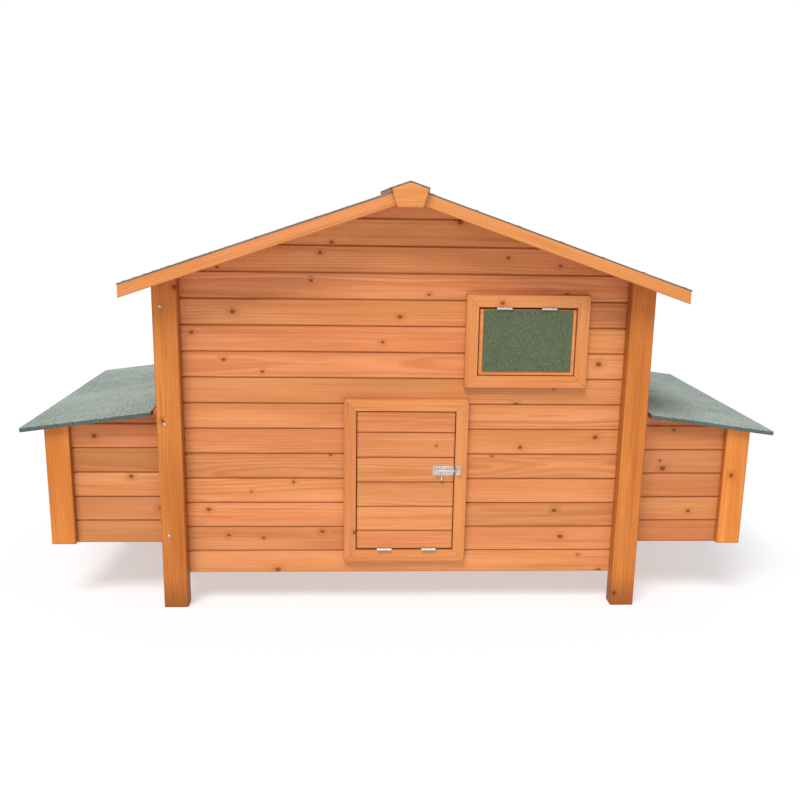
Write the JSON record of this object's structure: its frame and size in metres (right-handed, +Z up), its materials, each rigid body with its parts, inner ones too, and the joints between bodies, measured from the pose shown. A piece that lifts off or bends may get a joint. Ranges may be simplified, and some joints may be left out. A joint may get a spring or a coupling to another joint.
{
  "type": "chicken coop",
  "caption": "Wide gabled wooden hen house on four legs with felt roof, drop-down pop door, vent flap and a lidded nest box on each side.",
  "frame": {"origin": "bottom centre of the coop's box, on the ground under the middle of the four legs", "axes": "+X across the front to the viewer's right, +Y from the front (pop door) to the rear, +Z up"},
  "size_m": [1.956, 1.012, 1.1009],
  "materials": {
    "leg_wood": "planed softwood, golden brown stain",
    "wall_wood": "planed softwood, orange brown stain",
    "trim_wood": "planed softwood, orange brown stain",
    "frame_wood": "planed softwood, thin stain",
    "plywood": "thin stained sheet",
    "roofing_felt": "green mineral bitumen felt, rough",
    "zinc_steel": "zinc plated, satin",
    "galvanised_wire": "galvanised wire",
    "galvanised_sheet": "galvanised sheet, spangled"
  },
  "bodies": {
    "coop": {"leg_front_left": "leg_wood", "leg_front_right": "leg_wood", "leg_rear_left": "leg_wood", "leg_rear_right": "leg_wood", "nest_posts": "leg_wood", "front_wall_boards": "wall_wood", "rear_wall_boards": "wall_wood", "left_wall_boards": "wall_wood", "right_wall_boards": "wall_wood", "left_nest_boards": "wall_wood", "right_nest_boards": "wall_wood", "barge_boards": "trim_wood", "ridge_cap_boards": "trim_wood", "finials": "trim_wood", "door_trim": "trim_wood", "window_trim": "trim_wood", "rear_door_trim": "trim_wood", "hinge_rails": "trim_wood", "wall_battens": "frame_wood", "wall_plates": "frame_wood", "rafters": "frame_wood", "ridge_beam": "frame_wood", "floor_bearers": "frame_wood", "perches": "frame_wood", "perch_brackets": "frame_wood", "nest_dividers": "frame_wood", "left_roof_panel": "plywood", "right_roof_panel": "plywood", "floor_panel": "plywood", "nest_floors": "plywood", "left_roof_felt": "roofing_felt", "right_roof_felt": "roofing_felt", "ridge_cap_felt": "roofing_felt", "fixed_hinge_leaves": "zinc_steel", "bolt_keepers": "zinc_steel", "leg_screws": "zinc_steel", "vent_mesh": "galvanised_wire"},
    "pop_door": {"pop_door_boards": "wall_wood", "pop_door_ledges": "frame_wood", "ramp_cleats": "frame_wood", "door_hinge_leaves": "zinc_steel", "door_bolt_plate": "zinc_steel"},
    "door_bolt": {"door_bolt_rod": "zinc_steel"},
    "vent_flap": {"flap_board": "wall_wood", "flap_felt": "roofing_felt", "flap_hinge_leaves": "zinc_steel"},
    "left_nest_lid": {"left_lid_board": "trim_wood", "left_lid_felt": "roofing_felt", "left_lid_hinge_leaves": "zinc_steel"},
    "right_nest_lid": {"right_lid_board": "trim_wood", "right_lid_felt": "roofing_felt", "right_lid_hinge_leaves": "zinc_steel"},
    "rear_door": {"rear_door_boards": "wall_wood", "rear_door_ledges": "frame_wood", "rear_hinge_leaves": "zinc_steel", "rear_bolt_plate": "zinc_steel"},
    "rear_bolt": {"rear_bolt_rod": "zinc_steel"},
    "droppings_tray": {"tray_pan": "galvanised_sheet", "tray_front": "wall_wood", "tray_knob": "frame_wood"}
  },
  "joints": [
    {"name": "pop_door_hinge", "type": "hinge", "parent": "coop", "child": "pop_door", "pos_m": [0, -0.4163, 0.155], "axis": [1, 0, 0], "range_deg": [0, 114]},
    {"name": "door_bolt_slide", "type": "slide", "parent": "pop_door", "child": "door_bolt", "axis": [1, 0, 0], "range_m": [0, 0.014]},
    {"name": "vent_flap_hinge", "type": "hinge", "parent": "coop", "child": "vent_flap", "pos_m": [0.3075, -0.4163, 0.796], "axis": [-1, 0, 0], "range_deg": [0, 100]},
    {"name": "left_lid_hinge", "type": "hinge", "parent": "coop", "child": "left_nest_lid", "pos_m": [-0.645, 0, 0.52459], "axis": [0, 1, 0], "range_deg": [0, 85]},
    {"name": "right_lid_hinge", "type": "hinge", "parent": "coop", "child": "right_nest_lid", "pos_m": [0.645, 0, 0.52459], "axis": [0, -1, 0], "range_deg": [0, 85]},
    {"name": "rear_door_hinge", "type": "hinge", "parent": "coop", "child": "rear_door", "pos_m": [0.27, 0.4163, 0.41], "axis": [0, 0, -1], "range_deg": [0, 150]},
    {"name": "rear_bolt_slide", "type": "slide", "parent": "rear_door", "child": "rear_bolt", "axis": [-1, 0, 0], "range_m": [0, 0.014]},
    {"name": "tray_slide", "type": "slide", "parent": "coop", "child": "droppings_tray", "axis": [0, 1, 0], "range_m": [0, 0.6]}
  ]
}
